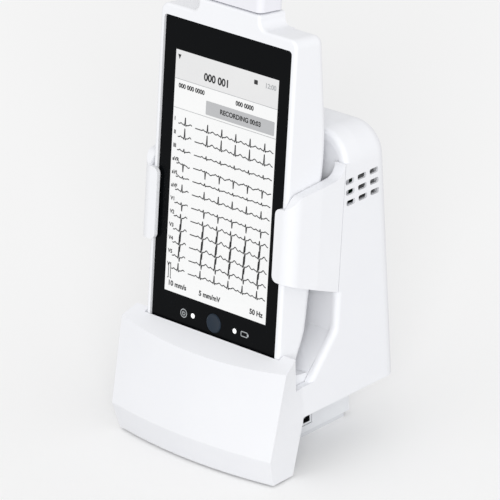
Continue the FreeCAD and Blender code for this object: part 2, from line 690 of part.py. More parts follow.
# Recorder: battery pack and the door over it, which follows the hump
battery = new_part("battery_pack", leaning=True)
box(
    battery, "Additive", (-battery_half, battery_half), (battery_front, battery_front + d.battery_thick),
    (d.battery_foot, battery_top),
)
round_edges(battery, d.glass_corner, lambda e: near(abs(e.tangentAt(e.FirstParameter).z), 1))
door = new_part("battery_door", leaning=True)
sketch = new_sketch(door, "door_side", "YZ_Plane")
casing_profile(sketch)
extrude(door, "Pad", sketch, door_half * 2, both=True)
spare = d.case_wall
box(
    door, "Subtractive", (-door_half - spare, door_half + spare), (d.split_depth - spare, d.door_seat),
    (-spare, case_top + spare),
)
box(
    door, "Subtractive", (-door_half - spare, door_half + spare), (d.door_seat - spare, d.hump_depth + spare),
    (-spare, door_foot),
)
box(
    door, "Subtractive", (-door_half - spare, door_half + spare), (d.door_seat - spare, d.hump_depth + spare),
    (door_top, case_top + spare),
)

# Recorder: screws that hold the two halves of the casing together at the foot
case_screws = new_part("case_screws", leaning=True)
for across in (-case_screw_across, case_screw_across):
    rod(
        case_screws, "Additive", "y", across, case_screw_seat, case_screw_foot, d.screw_head,
        d.screw_head_high,
    )
    rod(
        case_screws, "Additive", "y", across, d.split_depth - d.case_wall, case_screw_foot, d.screw_shank,
        d.case_wall * 2,
    )

# Recorder: charging contact pads flush with the foot
pads = new_part("contact_pads", leaning=True)
for across in pads_across:
    box(
        pads, "Additive", (across - d.pad_width / 2, across + d.pad_width / 2),
        (d.pad_setback - d.pad_depth / 2, d.pad_setback + d.pad_depth / 2), (sized(0), d.pad_thick),
    )

# Recorder: connector head on the collar, with the patient lead socket in its top
head = new_part("connector_head", leaning=True)
head_foot = collar_top + d.head_shadow
head_top = head_foot + d.head_height
head_front = -d.face_proud / 2
head_rear = d.collar_depth - d.face_proud / 2
socket_middle = (head_front + head_rear) / 2
socket_half = d.socket_width / 2
sketch = new_sketch(head, "head_plan", "XY_Plane", head_foot)
rectangle(
    sketch, -collar_half + d.fit_gap, collar_half - d.fit_gap, head_front, head_rear, d.head_round
)
extrude(head, "Pad", sketch, d.head_height)
round_edges(head, d.face_round, lambda e: all(near(v.Z, head_top.value) for v in e.Vertexes))
box(
    head, "Additive", (-neck_half, neck_half), (d.neck_setback, neck_rear),
    (head_foot - d.neck_length, head_foot + d.fit_gap),
)
sketch = new_sketch(head, "socket_mouth", "XY_Plane", head_top)
rectangle(
    sketch, -socket_half, socket_half, socket_middle - d.socket_depth / 2, socket_middle + d.socket_depth / 2,
    d.glass_corner,
)
extrude(head, "Pocket", sketch, d.socket_deep)
insulator = new_part("socket_insulator", leaning=True)
socket_base = head_top - d.socket_deep
insulator_top = socket_base + d.socket_floor
sketch = new_sketch(insulator, "insulator_plan", "XY_Plane", socket_base)
rectangle(
    sketch, -socket_half + d.thin_gap, socket_half - d.thin_gap,
    socket_middle - d.socket_depth / 2 + d.thin_gap, socket_middle + d.socket_depth / 2 - d.thin_gap,
    d.glass_corner,
)
extrude(insulator, "Pad", sketch, d.socket_floor)
socket_pins = new_part("socket_pins", leaning=True)
for row, count in ((-1, 8), (1, 7)):
    for index in range(count):
        rod(
            socket_pins, "Additive", "z", d.pin_pitch * (index - (count - 1) / 2),
            socket_middle + d.pin_pitch * (row / 2), insulator_top, d.pin_diameter, d.pin_length,
        )

# Dock: places on the leaning rim, in the dock's upright frame


def rim_y(depth, height):
    """Distance behind the dock's middle of a plane parallel to the glass, at a height above the table."""
    return depth / COS + (height - d.seat_height) * TAN - d.seat_forward


def bowed_section(body, name, height, half, front, rear):
    """Plan of the apron at one height: a bowed front, slanting cheeks and a straight rear."""
    plan = new_sketch(body, name, "XY_Plane", height)
    radius = (half * half + d.apron_bow * d.apron_bow) / (2 * d.apron_bow)
    middle = FreeCAD.Vector(0, radius.value - front.value - d.apron_bow.value, 0)
    swing = math.asin(half.value / radius.value)
    arc = plan.addGeometry(Part.ArcOfCircle(
        Part.Circle(middle, FreeCAD.Vector(0, 0, 1), radius.value), -math.pi / 2 - swing, -math.pi / 2 + swing
    ))
    spots = [(half, -front), (dock_half, rear), (-dock_half, rear), (-half, -front)]
    ends = [FreeCAD.Vector(sized(a).value, sized(b).value, 0) for a, b in spots]
    lines = plan.addGeometry([Part.LineSegment(ends[i], ends[i + 1]) for i in range(3)])
    rules = [
        (Sketcher.Constraint("Coincident", arc, 2, lines[0], 1), None),
        (Sketcher.Constraint("Coincident", lines[0], 2, lines[1], 1), None),
        (Sketcher.Constraint("Coincident", lines[1], 2, lines[2], 1), None),
        (Sketcher.Constraint("Coincident", lines[2], 2, arc, 1), None),
        (Sketcher.Constraint("Radius", arc, radius.value), radius.text),
    ]
    for line, spot in zip(lines, spots):
        rules.extend(pinned(line, 1, spot[0], spot[1]))
    add_rules(plan, rules + pinned(lines[2], 2, spots[3][0], spots[3][1]))
    return plan


def leaning_box(body, kind, x, depth, up):
    """A box drawn in the recorder's frame, added to or cut from an upright body."""
    feature = box(body, kind, x, depth, up)
    feature.Placement = FreeCAD.Placement(
        FreeCAD.Vector(), FreeCAD.Rotation(FreeCAD.Vector(1, 0, 0), -d.lean_angle.value)
    )
    feature.setExpression(".Placement.Rotation.Angle", "-dims.lean_angle * 1deg")
    corner_y = depth[0] * COS + up[0] * SIN - d.seat_forward
    corner_z = up[0] * COS - depth[0] * SIN + d.seat_height
    place_primitive(feature, x[0], corner_y, corner_z)


def leg_y(height):
    """Rear of the leg at a height, as a place along Y."""
    return (height - d.apron_foot) * d.leg_slope - d.leg_rear


# Dock: housing with the leaning rim, the shouldered top, the bowed apron and the vents
housing = new_part("dock_housing")
scoop_y = rim_y(d.rim_plane, d.scoop_height)
scoop_run = (scoop_y + d.sill_rear) / (d.scoop_height - d.sill_height)
sketch = new_sketch(housing, "housing_side", "YZ_Plane")
outline(sketch, [
    (-d.sill_rear - scoop_run * (d.sill_height - d.dock_skirt), d.dock_skirt),
    (d.dock_rear, d.dock_skirt),
    (d.dock_rear, d.dock_top - d.dock_fall),
    (d.dock_crest, d.dock_top),
    (rim_y(d.rim_plane, d.dock_top), d.dock_top),
    (scoop_y, d.scoop_height, d.scoop_round),
])
extrude(housing, "Pad", sketch, dock_half * 2, both=True)


def on_housing_shoulder(edge):
    """The upper side edges, along the flat of the top and along its fall."""
    low = d.dock_top.value - d.dock_fall.value - 0.01
    return on_side(edge, dock_half) and all(v.Z > low for v in edge.Vertexes)


def on_housing_rear(edge):
    """The rear upright edges and the rear edge of the top."""
    ends = edge.Vertexes
    on_foot = all(near(v.Z, d.dock_skirt.value) for v in ends)
    return all(near(v.Y, d.dock_rear.value) for v in ends) and not on_foot


def on_housing_rim(edge):
    """The outer edges of the leaning rim, over the top and down both sides."""
    across = edge.Vertexes[0].X - edge.Vertexes[-1].X
    spot = edge.valueAt((edge.FirstParameter + edge.LastParameter) / 2)
    on_scoop = scoop_y.value + scoop_run.value * (spot.z - d.scoop_height.value)
    line = min(rim_y(d.rim_plane, spot.z).value, on_scoop)
    on_top = near(spot.z, d.dock_top.value)
    return abs(spot.y - line) < d.rim_round.value / 4 and (on_top or abs(across) < dock_half.value)


round_edges(housing, d.dock_shoulder, on_housing_shoulder)
round_edges(housing, d.dock_corner, on_housing_rear)
round_edges(housing, d.rim_round, on_housing_rim)
apron_rise = (d.dock_skirt - d.apron_break) / (d.apron_tall - d.apron_break)
skirt_flare = d.apron_break_flare + (d.apron_tall_flare - d.apron_break_flare) * apron_rise
skirt_front = d.apron_break_front + (d.apron_tall_front - d.apron_break_front) * apron_rise
sections = [
    bowed_section(housing, f"apron_{name}", height, dock_half + flare, front, rear)
    for name, height, flare, front, rear in (
        ("foot", d.apron_foot, d.apron_foot_flare, d.apron_foot_front, leg_y(d.apron_foot)),
        ("break", d.apron_break, d.apron_break_flare, d.apron_break_front, leg_y(d.apron_break)),
        ("skirt", d.dock_skirt, skirt_flare, skirt_front, leg_y(d.dock_skirt)),
        ("tall", d.apron_tall, d.apron_tall_flare, d.apron_tall_front, leg_y(d.dock_skirt)),
    )
]
apron = housing.newObject("PartDesign::AdditiveLoft", "apron_loft")
apron.Profile = sections[0]
apron.Sections = sections[1:]
apron.Ruled = True
doc.recompute()
far = dock_half * 2
ledge_far = d.ledge_out - d.sill_rear
sketch = new_sketch(housing, "apron_ledge", "YZ_Plane")
outline(sketch, [
    (-d.ledge_out - ledge_far, d.ledge_front - d.ledge_slope * ledge_far),
    (-d.sill_rear, d.ledge_front + d.ledge_slope * ledge_far),
    (-d.sill_rear, d.dock_top),
    (-d.ledge_out - ledge_far, d.dock_top),
])
extrude(housing, "Pocket", sketch, far * 2, both=True)
box(
    housing, "Subtractive", (-far, far), (-d.cheek_rear, -d.sill_rear - d.fit_gap),
    (d.sill_height, d.apron_tall + d.dock_wall),
)
box(housing, "Additive", (-dock_half, dock_half), (-d.cheek_rear, scoop_y), (d.dock_skirt, d.sill_height))
hollow_front = -d.cheek_rear + d.dock_wall / 2
hollow_rear = d.dock_rear - d.dock_shell
hollow_top = d.dock_top - d.dock_fall - d.dock_shell
hollow_low = d.dock_skirt - d.dock_shoulder
inner_round = d.dock_shoulder - d.dock_wall
sketch = new_sketch(housing, "housing_inside", "XZ_Plane", -hollow_rear)
outline(sketch, [
    (-dock_inner, hollow_low),
    (dock_inner, hollow_low),
    (dock_inner, hollow_top, inner_round),
    (-dock_inner, hollow_top, inner_round),
])
extrude(housing, "Pocket", sketch, hollow_rear - hollow_front, reverse=True)
floor_low = -d.slide_gap - d.panel_thick
well_floor = floor_low - d.fit_gap
block_half = pads_across[-1] + d.block_margin
block_top = -d.slide_gap * 2
block_floor = block_top - d.block_height
flange_half = block_half + d.block_flange
lip_plane = -d.face_proud - d.slide_gap
for half, floor in ((well_half, well_floor), (flange_half + d.fit_gap, block_floor - d.fit_gap)):
    leaning_box(housing, "Subtractive", (-half, half), (lip_plane, d.floor_rear + spare), (floor, case_top))
for side in (-1, 1):
    leaning_box(
        housing, "Additive", mirrored(side, dock_half - d.rim_round, dock_half),
        (d.rim_plane, d.rim_plane + d.rim_round), (d.arm_rear_foot, d.arm_crown),
    )
front_foot_x = dock_half - d.front_foot_inset
apron_inside = front_foot_x - d.foot_width / 2 - d.dock_wall
box(
    housing, "Subtractive", (-apron_inside, apron_inside),
    (-d.apron_foot_front + d.dock_wall, hollow_front - d.dock_wall),
    (d.apron_foot - d.fit_gap, d.dock_skirt + d.base_plate * 2),
)
boss_x = dock_inner - d.dock_wall
boss_size = d.dock_wall * 2 + d.case_wall / 2
plate_foot = d.dock_skirt + d.fit_gap
plate_top = plate_foot + d.base_plate
base_screws_at = [
    (side * boss_x, place) for side in (-1, 1) for place in (-d.base_front, d.dock_crest)
]
for across, place in base_screws_at:
    rod(housing, "Additive", "z", across, place, plate_top + d.fit_gap, boss_size, d.screw_length + d.fit_gap)
    rod(housing, "Subtractive", "z", across, place, plate_top, screw_bore, d.screw_length)
post_x = d.charger_width / 2 - d.boss_diameter
post_low = d.charger_foot + d.boss_diameter
post_high = d.charger_foot + d.charger_height - d.boss_diameter
board_plane = hollow_rear - d.charger_setback
for across in (-post_x, post_x):
    for height in (post_low, post_high):
        rod(
            housing, "Additive", "y", across, board_plane, height, d.boss_diameter,
            d.charger_setback + d.fit_gap,
        )
vent_span = d.vent_count - 1
vent_margin_y = d.vent_length / 2 + d.vent_round
vent_margin_z = d.vent_height / 2 + d.vent_round
for side, name in ((-1, "left"), (1, "right")):
    box(
        housing, "Subtractive", mirrored(side, dock_inner - d.fit_gap, dock_half - d.vent_web),
        (d.vent_first_y - vent_margin_y, d.vent_first_y + d.vent_pitch_y * vent_span + vent_margin_y),
        (d.vent_first_z - vent_margin_z, d.vent_first_z + d.vent_pitch_z * vent_span + vent_margin_z),
    )
    for row in range(int(d.vent_count.value)):
        sketch = new_sketch(housing, f"vents_{name}_{row}", "YZ_Plane", side * dock_half)
        vent_z = d.vent_first_z + d.vent_pitch_z * row
        for along in range(int(d.vent_count.value)):
            vent_y = d.vent_first_y + d.vent_pitch_y * along
            rectangle(
                sketch, vent_y - d.vent_length / 2, vent_y + d.vent_length / 2, vent_z - d.vent_height / 2,
                vent_z + d.vent_height / 2, d.vent_round,
            )
        extrude(housing, "Pocket", sketch, d.dock_wall + d.fit_gap, reverse=side < 0)

# Dock: cradle with the two arms and their lips, the back panel, the floor and the rest ribs
cradle = new_part("cradle", leaning=True)
lip_front = lip_plane - d.lip_thick
lip_inner = case_half - d.lip_reach
arm_front_half = well_half + d.arm_front_wall
arm_rear = d.rim_plane - d.fit_gap
panel_plane = d.rim_plane + d.panel_setback
panel_rear = panel_plane + d.panel_thick
panel_top = (hollow_top - d.fit_gap - d.seat_height + panel_plane * SIN) / COS
sketch = new_sketch(cradle, "panel_side", "YZ_Plane")
outline(sketch, [
    (d.floor_rear - d.panel_thick / 2, floor_low),
    (d.floor_rear + d.panel_thick / 2, floor_low),
    (panel_rear, d.panel_bend),
    (panel_rear, panel_top),
    (panel_plane, panel_top),
    (panel_plane, d.panel_bend),
])
extrude(cradle, "Pad", sketch, cradle_half * 2, both=True)
round_edges(
    cradle, inner_round - d.fit_gap,
    lambda e: on_side(e, cradle_half) and all(near(v.Z, panel_top.value) for v in e.Vertexes),
)
for side, name in ((-1, "left"), (1, "right")):
    sketch = new_sketch(cradle, f"arm_{name}", "YZ_Plane", side * well_half)
    outline(sketch, [
        (lip_front, d.arm_lip_foot),
        (arm_rear, d.arm_rear_foot),
        (arm_rear, d.arm_crown),
        (arm_rear - d.rim_edge, d.arm_crown),
        (arm_rear - d.rim_edge, d.arm_notch, d.arm_notch_round),
        (d.arm_shoulder_depth, d.arm_shoulder, d.arm_shoulder_round),
        (lip_front, d.arm_lip_top),
    ])
    extrude(cradle, "Pad", sketch, dock_half - well_half, reverse=side < 0)
    sketch = new_sketch(cradle, f"lip_{name}", "XZ_Plane", -lip_plane)
    outline(sketch, [
        (side * lip_inner, d.arm_lip_foot, d.lip_corner),
        (side * (well_half + d.lip_thick), d.arm_lip_foot),
        (side * (well_half + d.lip_thick), d.arm_lip_top),
        (side * lip_inner, d.arm_lip_top, d.lip_corner),
    ])
    extrude(cradle, "Pad", sketch, d.lip_thick)
    sketch = new_sketch(cradle, f"corner_{name}", "XY_Plane", d.arm_crown + d.lip_thick)
    outline(sketch, [
        (side * dock_half, d.arm_bulge),
        (side * arm_front_half, lip_front, d.arm_corner),
        (side * (arm_front_half - d.arm_corner * 2), lip_front),
        (side * (arm_front_half - d.arm_corner * 2), lip_front - d.lip_thick),
        (side * (dock_half + d.lip_thick), lip_front - d.lip_thick),
        (side * (dock_half + d.lip_thick), d.arm_bulge),
    ])
    extrude(cradle, "Pocket", sketch, d.arm_crown)
floor_half = well_half - d.fit_gap
floor_front = lip_plane + d.fit_gap
box(cradle, "Additive", (-floor_half, floor_half), (floor_front, d.floor_rear), (floor_low, -d.slide_gap))
wing_front = (hollow_front + d.seat_forward) / COS + d.fit_gap * 4
wing_foot = (d.sill_height - d.seat_height) / COS + d.fit_gap * 2
for side in (-1, 1):
    flank = mirrored(side, floor_half - d.fit_gap, cradle_half)
    box(
        cradle, "Additive", flank, (arm_rear - d.panel_thick, d.rim_plane + d.spigot_depth),
        (d.arm_rear_foot + d.spigot_depth, d.arm_crown - d.spigot_depth),
    )
    box(cradle, "Additive", flank, (wing_front, d.floor_rear), (wing_foot, -d.slide_gap))
    rib = side * d.rib_offset
    box(
        cradle, "Additive", (rib - d.rib_width / 2, rib + d.rib_width / 2),
        (d.hump_depth - d.slide_gap, panel_rear), (d.arm_shoulder, d.arm_crown),
    )
block_front = d.pad_setback - d.block_depth / 2
block_rear = d.pad_setback + d.block_depth / 2
box(
    cradle, "Subtractive", (-block_half - d.fit_gap, block_half + d.fit_gap),
    (block_front - d.fit_gap, block_rear + d.fit_gap), (floor_low - spare, sized(0)),
)

# Dock: contact block under the cradle's floor, and the sprung row of contact pins in it
block = new_part("contact_block", leaning=True)
row_top = -d.slide_gap / 3 - d.spring_pin_length
row_floor = row_top - d.spring_pin_diameter
row_half = pads_across[-1] + d.spring_pin_diameter
row_deep = d.spring_pin_diameter
box(block, "Additive", (-block_half, block_half), (block_front, block_rear), (block_floor, block_top))
box(
    block, "Additive", (-flange_half, flange_half), (block_front, block_rear),
    (block_floor, floor_low - d.fit_gap),
)
box(
    block, "Subtractive", (-row_half - d.fit_gap, row_half + d.fit_gap),
    (d.pad_setback - row_deep - d.fit_gap, d.pad_setback + row_deep + d.fit_gap),
    (block_floor - spare, row_top + d.fit_gap),
)
for across in pads_across:
    rod(
        block, "Subtractive", "z", across, d.pad_setback, row_top, d.spring_pin_diameter + d.thin_gap * 2,
        d.spring_pin_length + spare,
    )
pins = new_part("contact_pins", leaning=True)
box(
    pins, "Additive", (-row_half, row_half), (d.pad_setback - row_deep, d.pad_setback + row_deep),
    (row_floor, row_top),
)
for across in pads_across:
    rod(
        pins, "Additive", "z", across, d.pad_setback, row_top - d.thin_gap, d.spring_pin_diameter,
        d.spring_pin_length + d.thin_gap,
    )

# Dock: base cover with the block that stands on the table, open towards the housing
base = new_part("base_cover")
base_half = d.base_width / 2
base_inner = base_half - d.base_wall
base_floor = d.base_foot + d.base_plate
plate_front = hollow_front + d.fit_gap
plate_rear = hollow_rear - d.fit_gap
box(base, "Additive", (-base_half, base_half), (-d.base_front, d.base_rear), (d.base_foot, plate_top))
box(base, "Additive", (-cradle_half, cradle_half), (plate_front, plate_rear), (plate_foot, plate_top))
box(
    base, "Subtractive", (-base_inner, base_inner), (-d.base_front + d.base_wall, d.base_rear - d.base_wall),
    (base_floor, plate_top + spare),
)
nose_half = d.inlet_side / 2
nose_hole = nose_half + d.fit_gap
box(
    base, "Subtractive", (base_inner - spare, base_half + spare),
    (d.inlet_y - nose_hole, d.inlet_y + nose_hole), (d.inlet_z - nose_hole, d.inlet_z + nose_hole),
)
for across, place in base_screws_at:
    rod(base, "Subtractive", "z", across, place, plate_foot - spare, screw_bore, d.base_plate + spare * 2)

# Dock: screws through the base cover into the housing's bosses
base_screws = new_part("base_screws")
for across, place in base_screws_at:
    rod(
        base_screws, "Additive", "z", across, place, plate_foot - d.screw_head_high, d.screw_head,
        d.screw_head_high,
    )
    rod(base_screws, "Additive", "z", across, place, plate_foot - d.thin_gap, d.screw_shank, d.screw_length)

# Dock: rubber feet, two under the base block and two under the apron
feet = new_part("rubber_feet")
rear_foot_inner = base_half - d.fit_gap - d.foot_width
rear_foot_end = d.base_rear - d.foot_inset
for side in (-1, 1):
    flank = mirrored(side, rear_foot_inner, rear_foot_inner + d.foot_width)
    box(feet, "Additive", flank, (rear_foot_end - d.foot_length, rear_foot_end), (sized(0), d.base_foot))
    middle = side * front_foot_x
    box(
        feet, "Additive", (middle - d.foot_width / 2, middle + d.foot_width / 2),
        (-d.front_foot_middle - d.front_foot_length / 2, -d.front_foot_middle + d.front_foot_length / 2),
        (sized(0), d.apron_foot),
    )

# Dock: steel ballast in the base block, and the power socket in its right wall
ballast = new_part("ballast_plate")
box(
    ballast, "Additive", (-base_inner + d.fit_gap, d.ballast_width - base_inner + d.fit_gap),
    (-d.base_front + d.base_wall + d.fit_gap, d.base_rear - d.base_wall - d.fit_gap),
    (base_floor, base_floor + d.ballast_height),
)
inlet = new_part("dc_inlet")
inlet_half = d.inlet_body / 2
inlet_face = base_half - d.thin_gap
inlet_deep_x = inlet_face - d.inlet_deep
inlet_rear_x = inlet_deep_x - d.inlet_pin
box(
    inlet, "Additive", (inlet_rear_x, base_inner - d.fit_gap),
    (d.inlet_y - inlet_half, d.inlet_y + inlet_half), (base_floor, d.inlet_z + inlet_half),
)
mouth_half = d.inlet_mouth / 2
for kind, root, tip, half in (
    ("Additive", base_inner - d.fit_gap * 2, inlet_face, nose_half),
    ("Subtractive", inlet_deep_x, inlet_face + spare, mouth_half),
):
    box(inlet, kind, (root, tip), (d.inlet_y - half, d.inlet_y + half), (d.inlet_z - half, d.inlet_z + half))
inlet_pin = new_part("inlet_pin")
rod(
    inlet_pin, "Additive", "x", inlet_deep_x, d.inlet_y, d.inlet_z, d.inlet_pin, d.inlet_deep - d.inlet_pin,
)

# Dock: charger board on the rear wall's posts, and the power converter on it
charger = new_part("charger_board")
charger_front = board_plane - d.board_thick
box(
    charger, "Additive", (-d.charger_width / 2, d.charger_width / 2), (charger_front, board_plane),
    (d.charger_foot, d.charger_foot + d.charger_height),
)
module = new_part("power_module")
box(
    module, "Additive", (-d.module_width / 2, d.module_width / 2),
    (charger_front - d.module_thick, charger_front), (d.module_foot, d.module_foot + d.module_height),
)
round_edges(module, d.glass_corner, lambda e: near(abs(e.tangentAt(e.FirstParameter).y), 1))

# Every object is checked before anything is written
doc.recompute()
for thing in doc.Objects:
    if "Invalid" in thing.State or "Error" in thing.State:
        raise RuntimeError(f"{thing.Name} did not build: {thing.State}")
bodies = [thing for thing in doc.Objects if thing.TypeId == "PartDesign::Body"]
for body in bodies:
    if body.Shape.isNull() or not body.Shape.isValid():
        raise RuntimeError(f"{body.Label} has no valid shape")
for body in bodies:
    body.Shape.exportStep(f"parts/{body.Label}.step")
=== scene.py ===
import math

import bpy
import numpy as np
from mathutils import Matrix, Vector


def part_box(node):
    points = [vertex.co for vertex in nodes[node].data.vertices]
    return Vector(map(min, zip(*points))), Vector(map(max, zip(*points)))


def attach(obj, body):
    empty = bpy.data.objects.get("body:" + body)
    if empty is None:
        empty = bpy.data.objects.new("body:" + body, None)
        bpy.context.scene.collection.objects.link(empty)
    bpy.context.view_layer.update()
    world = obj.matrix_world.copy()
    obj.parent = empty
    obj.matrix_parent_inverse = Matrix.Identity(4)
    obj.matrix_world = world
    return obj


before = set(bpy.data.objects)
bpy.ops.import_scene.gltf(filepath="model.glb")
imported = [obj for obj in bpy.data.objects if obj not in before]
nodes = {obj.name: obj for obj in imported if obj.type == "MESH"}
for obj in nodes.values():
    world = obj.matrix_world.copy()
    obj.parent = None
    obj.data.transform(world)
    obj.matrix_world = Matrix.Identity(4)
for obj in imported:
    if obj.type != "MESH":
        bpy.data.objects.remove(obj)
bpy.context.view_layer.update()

scene = bpy.context.scene

# The photograph was taken from the right of the front and a little above, from far back with a
# long lens. The camera is turned slightly on its own axis, so uprights lean to the left.
EYE = Vector((1.35305, -1.33044, 0.92056))
AIM = Vector((0.00284, 0.00038, 0.08820))
CAMERA_ROLL = math.radians(-3.086)
camera_data = bpy.data.cameras.new("camera")
camera_data.sensor_width = 36.0
camera_data.lens = 338.4
camera_data.clip_end = 30.0
camera = bpy.data.objects.new("camera", camera_data)
scene.collection.objects.link(camera)
aimed = (AIM - EYE).to_track_quat("-Z", "Y").to_matrix() @ Matrix.Rotation(CAMERA_ROLL, 3, "Z")
camera.matrix_world = Matrix.Translation(EYE) @ aimed.to_4x4()
scene.camera = camera

# Dock housing and cradle: two injection mouldings in cool white ABS with a fine spark-eroded grain.
# The cradle is pushed into the leaning rim of the housing, and its arms carry on the housing's sides.


def linear(hex_colour):
    """sRGB hex to linear: c / 12.92 up to 0.04045, and ((c + 0.055) / 1.055) ** 2.4 above."""
    parts = np.array([int(hex_colour[i:i + 2], 16) for i in (1, 3, 5)]) / 255
    curved = ((parts + 0.055) / 1.055) ** 2.4
    return (*np.where(parts <= 0.04045, parts / 12.92, curved).tolist(), 1.0)


def add_node(tree, kind, values=None, links=None, **settings):
    """Adds one node: settings are its properties, values its sockets' numbers, links their sources."""
    made = tree.nodes.new(kind)
    for name, value in settings.items():
        setattr(made, name, value)
    for name, value in (values or {}).items():
        made.inputs[name].default_value = value
    for name, source in (links or {}).items():
        tree.links.new(source, made.inputs[name])
    return made


def grained(name, dark, light, grain_mm, depth_mm, roughness, shader, patch_mm=35.0):
    """A moulded or foamed material: colour drifts between two shades over patch_mm, roughness wavers by
    a tenth, and a noise of grain_mm lifts the surface by depth_mm. shader holds further sockets."""
    material = bpy.data.materials.new(name)
    material.use_nodes = True
    tree = material.node_tree
    tree.nodes.clear()
    place = add_node(tree, "ShaderNodeTexCoord").outputs["Object"]
    drift = add_node(
        tree, "ShaderNodeTexNoise", {"Scale": 1000 / patch_mm, "Detail": 3.0}, {"Vector": place}
    )
    grain = add_node(
        tree, "ShaderNodeTexNoise", {"Scale": 1000 / grain_mm, "Detail": 2.0}, {"Vector": place}
    )
    shade = add_node(
        tree, "ShaderNodeMix", {6: linear(dark), 7: linear(light)}, {0: drift.outputs["Fac"]},
        data_type="RGBA",
    )
    sheen = add_node(
        tree, "ShaderNodeMapRange", {"To Min": roughness * 0.9, "To Max": roughness * 1.1},
        {"Value": grain.outputs["Fac"]},
    )
    relief = add_node(
        tree, "ShaderNodeBump", {"Strength": 1.0, "Distance": depth_mm / 1000},
        {"Height": grain.outputs["Fac"]},
    )
    surface = add_node(
        tree, "ShaderNodeBsdfPrincipled", shader,
        {
            "Base Color": shade.outputs[2],
            "Roughness": sheen.outputs["Result"],
            "Normal": relief.outputs["Normal"],
        },
    )
    add_node(tree, "ShaderNodeOutputMaterial", {}, {"Surface": surface.outputs["BSDF"]})
    return material


def coat(material, *names):
    """Gives CAD nodes their finish."""
    for name in names:
        nodes[name].data.materials.clear()
        nodes[name].data.materials.append(material)


# Grain of spark-eroded ABS is about 0.1 mm; it is drawn at 0.5 mm so that it still breaks the highlights.
white_abs = grained(
    "white_abs_moulded", "#ebecf0", "#f0f1f4", 0.5, 0.004, 0.42, {"IOR": 1.53, "Specular IOR Level": 0.45}
)
coat(white_abs, "dock_housing", "cradle")

# It is coloured a little darker than the dock's white: the darkening is painted shade for the block under
# the overhanging body.
# Base cover: an ABS moulding with the block that stands on the table, held by steel screws.
# Its rubber feet are punched from sheet and glued on, and look as pale as the block but quite dull.
base_abs_painted_shade = grained(
    "base_abs_moulded_painted_shade", "#e6e8ec", "#ebedf0", 0.5, 0.004, 0.48, {"IOR": 1.53, "Specular IOR Level": 0.4}
)
coat(base_abs_painted_shade, "base_cover")
foot_rubber = grained("grey_rubber_sheet", "#d9dbdf", "#dfe1e5", 0.4, 0.02, 0.8, {"IOR": 1.5})
coat(foot_rubber, "rubber_feet")
# Bright zinc over steel: a cool metal with a faint cloudiness.
screw_steel = grained("zinc_plated_steel", "#a9abad", "#bfc1c2", 0.3, 0.001, 0.32, {"Metallic": 1.0})
coat(screw_steel, "base_screws", "ballast_plate", "case_screws", "input_shield")

# Contact block and the small moulded parts of both halves: black glass-filled nylon, a little duller
# than the casing. The contacts and the pins of the patient socket are gold-plated brass.
black_nylon = grained("black_nylon_moulded", "#141416", "#1b1b1e", 0.4, 0.006, 0.5, {"IOR": 1.53})
coat(black_nylon, "contact_block", "power_module", "button_switch", "sounder", "socket_insulator")
gold_plate = grained("gold_plated_brass", "#c89b4a", "#d6ac5c", 0.3, 0.001, 0.25, {"Metallic": 1.0})
coat(gold_plate, "contact_pins", "contact_pads", "socket_pins")

# Power socket: a nylon moulding set into the right wall of the base from inside, with a plated pin.
# Its face is flush and in the base's colour, painted shade included, and its mouth is black from
# FACE_DEEP metres in.
FACE_DEEP = 0.0003
coat(screw_steel, "inlet_pin")
socket_nylon = grained("grey_faced_black_nylon", "#e6e8ec", "#ebedf0", 0.5, 0.004, 0.48, {"IOR": 1.53})
tree = socket_nylon.node_tree
surface = tree.nodes["Principled BSDF"].inputs["Base Color"]
place = add_node(tree, "ShaderNodeTexCoord").outputs["Object"]
sideways = add_node(tree, "ShaderNodeSeparateXYZ", {}, {0: place}).outputs["X"]
mouth_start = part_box("dc_inlet")[1][0] - FACE_DEEP
mouth = add_node(tree, "ShaderNodeMath", {1: mouth_start}, {0: sideways}, operation="LESS_THAN")
faced = add_node(
    tree, "ShaderNodeMix", {7: linear("#141416")}, {0: mouth.outputs[0], 6: surface.links[0].from_socket},
    data_type="RGBA",
)
tree.links.new(faced.outputs[2], surface)
coat(socket_nylon, "dc_inlet")

# Circuit boards of both halves: glass-epoxy laminate under green solder mask.
# The weave of the glass cloth shows as a faint 0.5 mm ripple.
solder_mask = grained("green_solder_mask", "#0c4a2a", "#115834", 0.5, 0.006, 0.3, {"IOR": 1.55})
coat(solder_mask, "charger_board", "main_board", "key_board")

# Recorder casing: front bezel, rear shell and battery door in the dock's white, polished a step finer
# because hands hold it. The battery pack inside is in dark shrink wrap.
casing_abs = grained(
    "white_abs_casing", "#eeeff3", "#f2f3f6", 0.5, 0.003, 0.36, {"IOR": 1.53, "Specular IOR Level": 0.5}
)
coat(casing_abs, "front_bezel", "rear_shell", "battery_door")
shrink_wrap = grained("pvc_shrink_wrap", "#1c2230", "#232a3a", 0.8, 0.01, 0.35, {"IOR": 1.53})
coat(shrink_wrap, "battery_pack")

# Cover glass: one pane of hardened glass, printed black from behind round the display and bonded over
# a black foam gasket. What shows is the black print under a polished surface.
printed_glass = grained(
    "black_printed_glass", "#08090b", "#0c0e10", 2.0, 0.0004, 0.12,
    {"IOR": 1.52, "Specular IOR Level": 0.04},
)
coat(printed_glass, "cover_glass")
gasket_foam = grained("black_gasket_foam", "#19191a", "#202022", 0.5, 0.03, 0.9, {"IOR": 1.4})
coat(gasket_foam, "glass_gasket")
# Acrylic of the light pipes and of the display's front film: pale and glossy.
clear_acrylic = grained("clear_acrylic", "#e4e8ea", "#eef1f2", 1.0, 0.001, 0.15, {"IOR": 1.49})
coat(clear_acrylic, "light_pipes", "display_module")

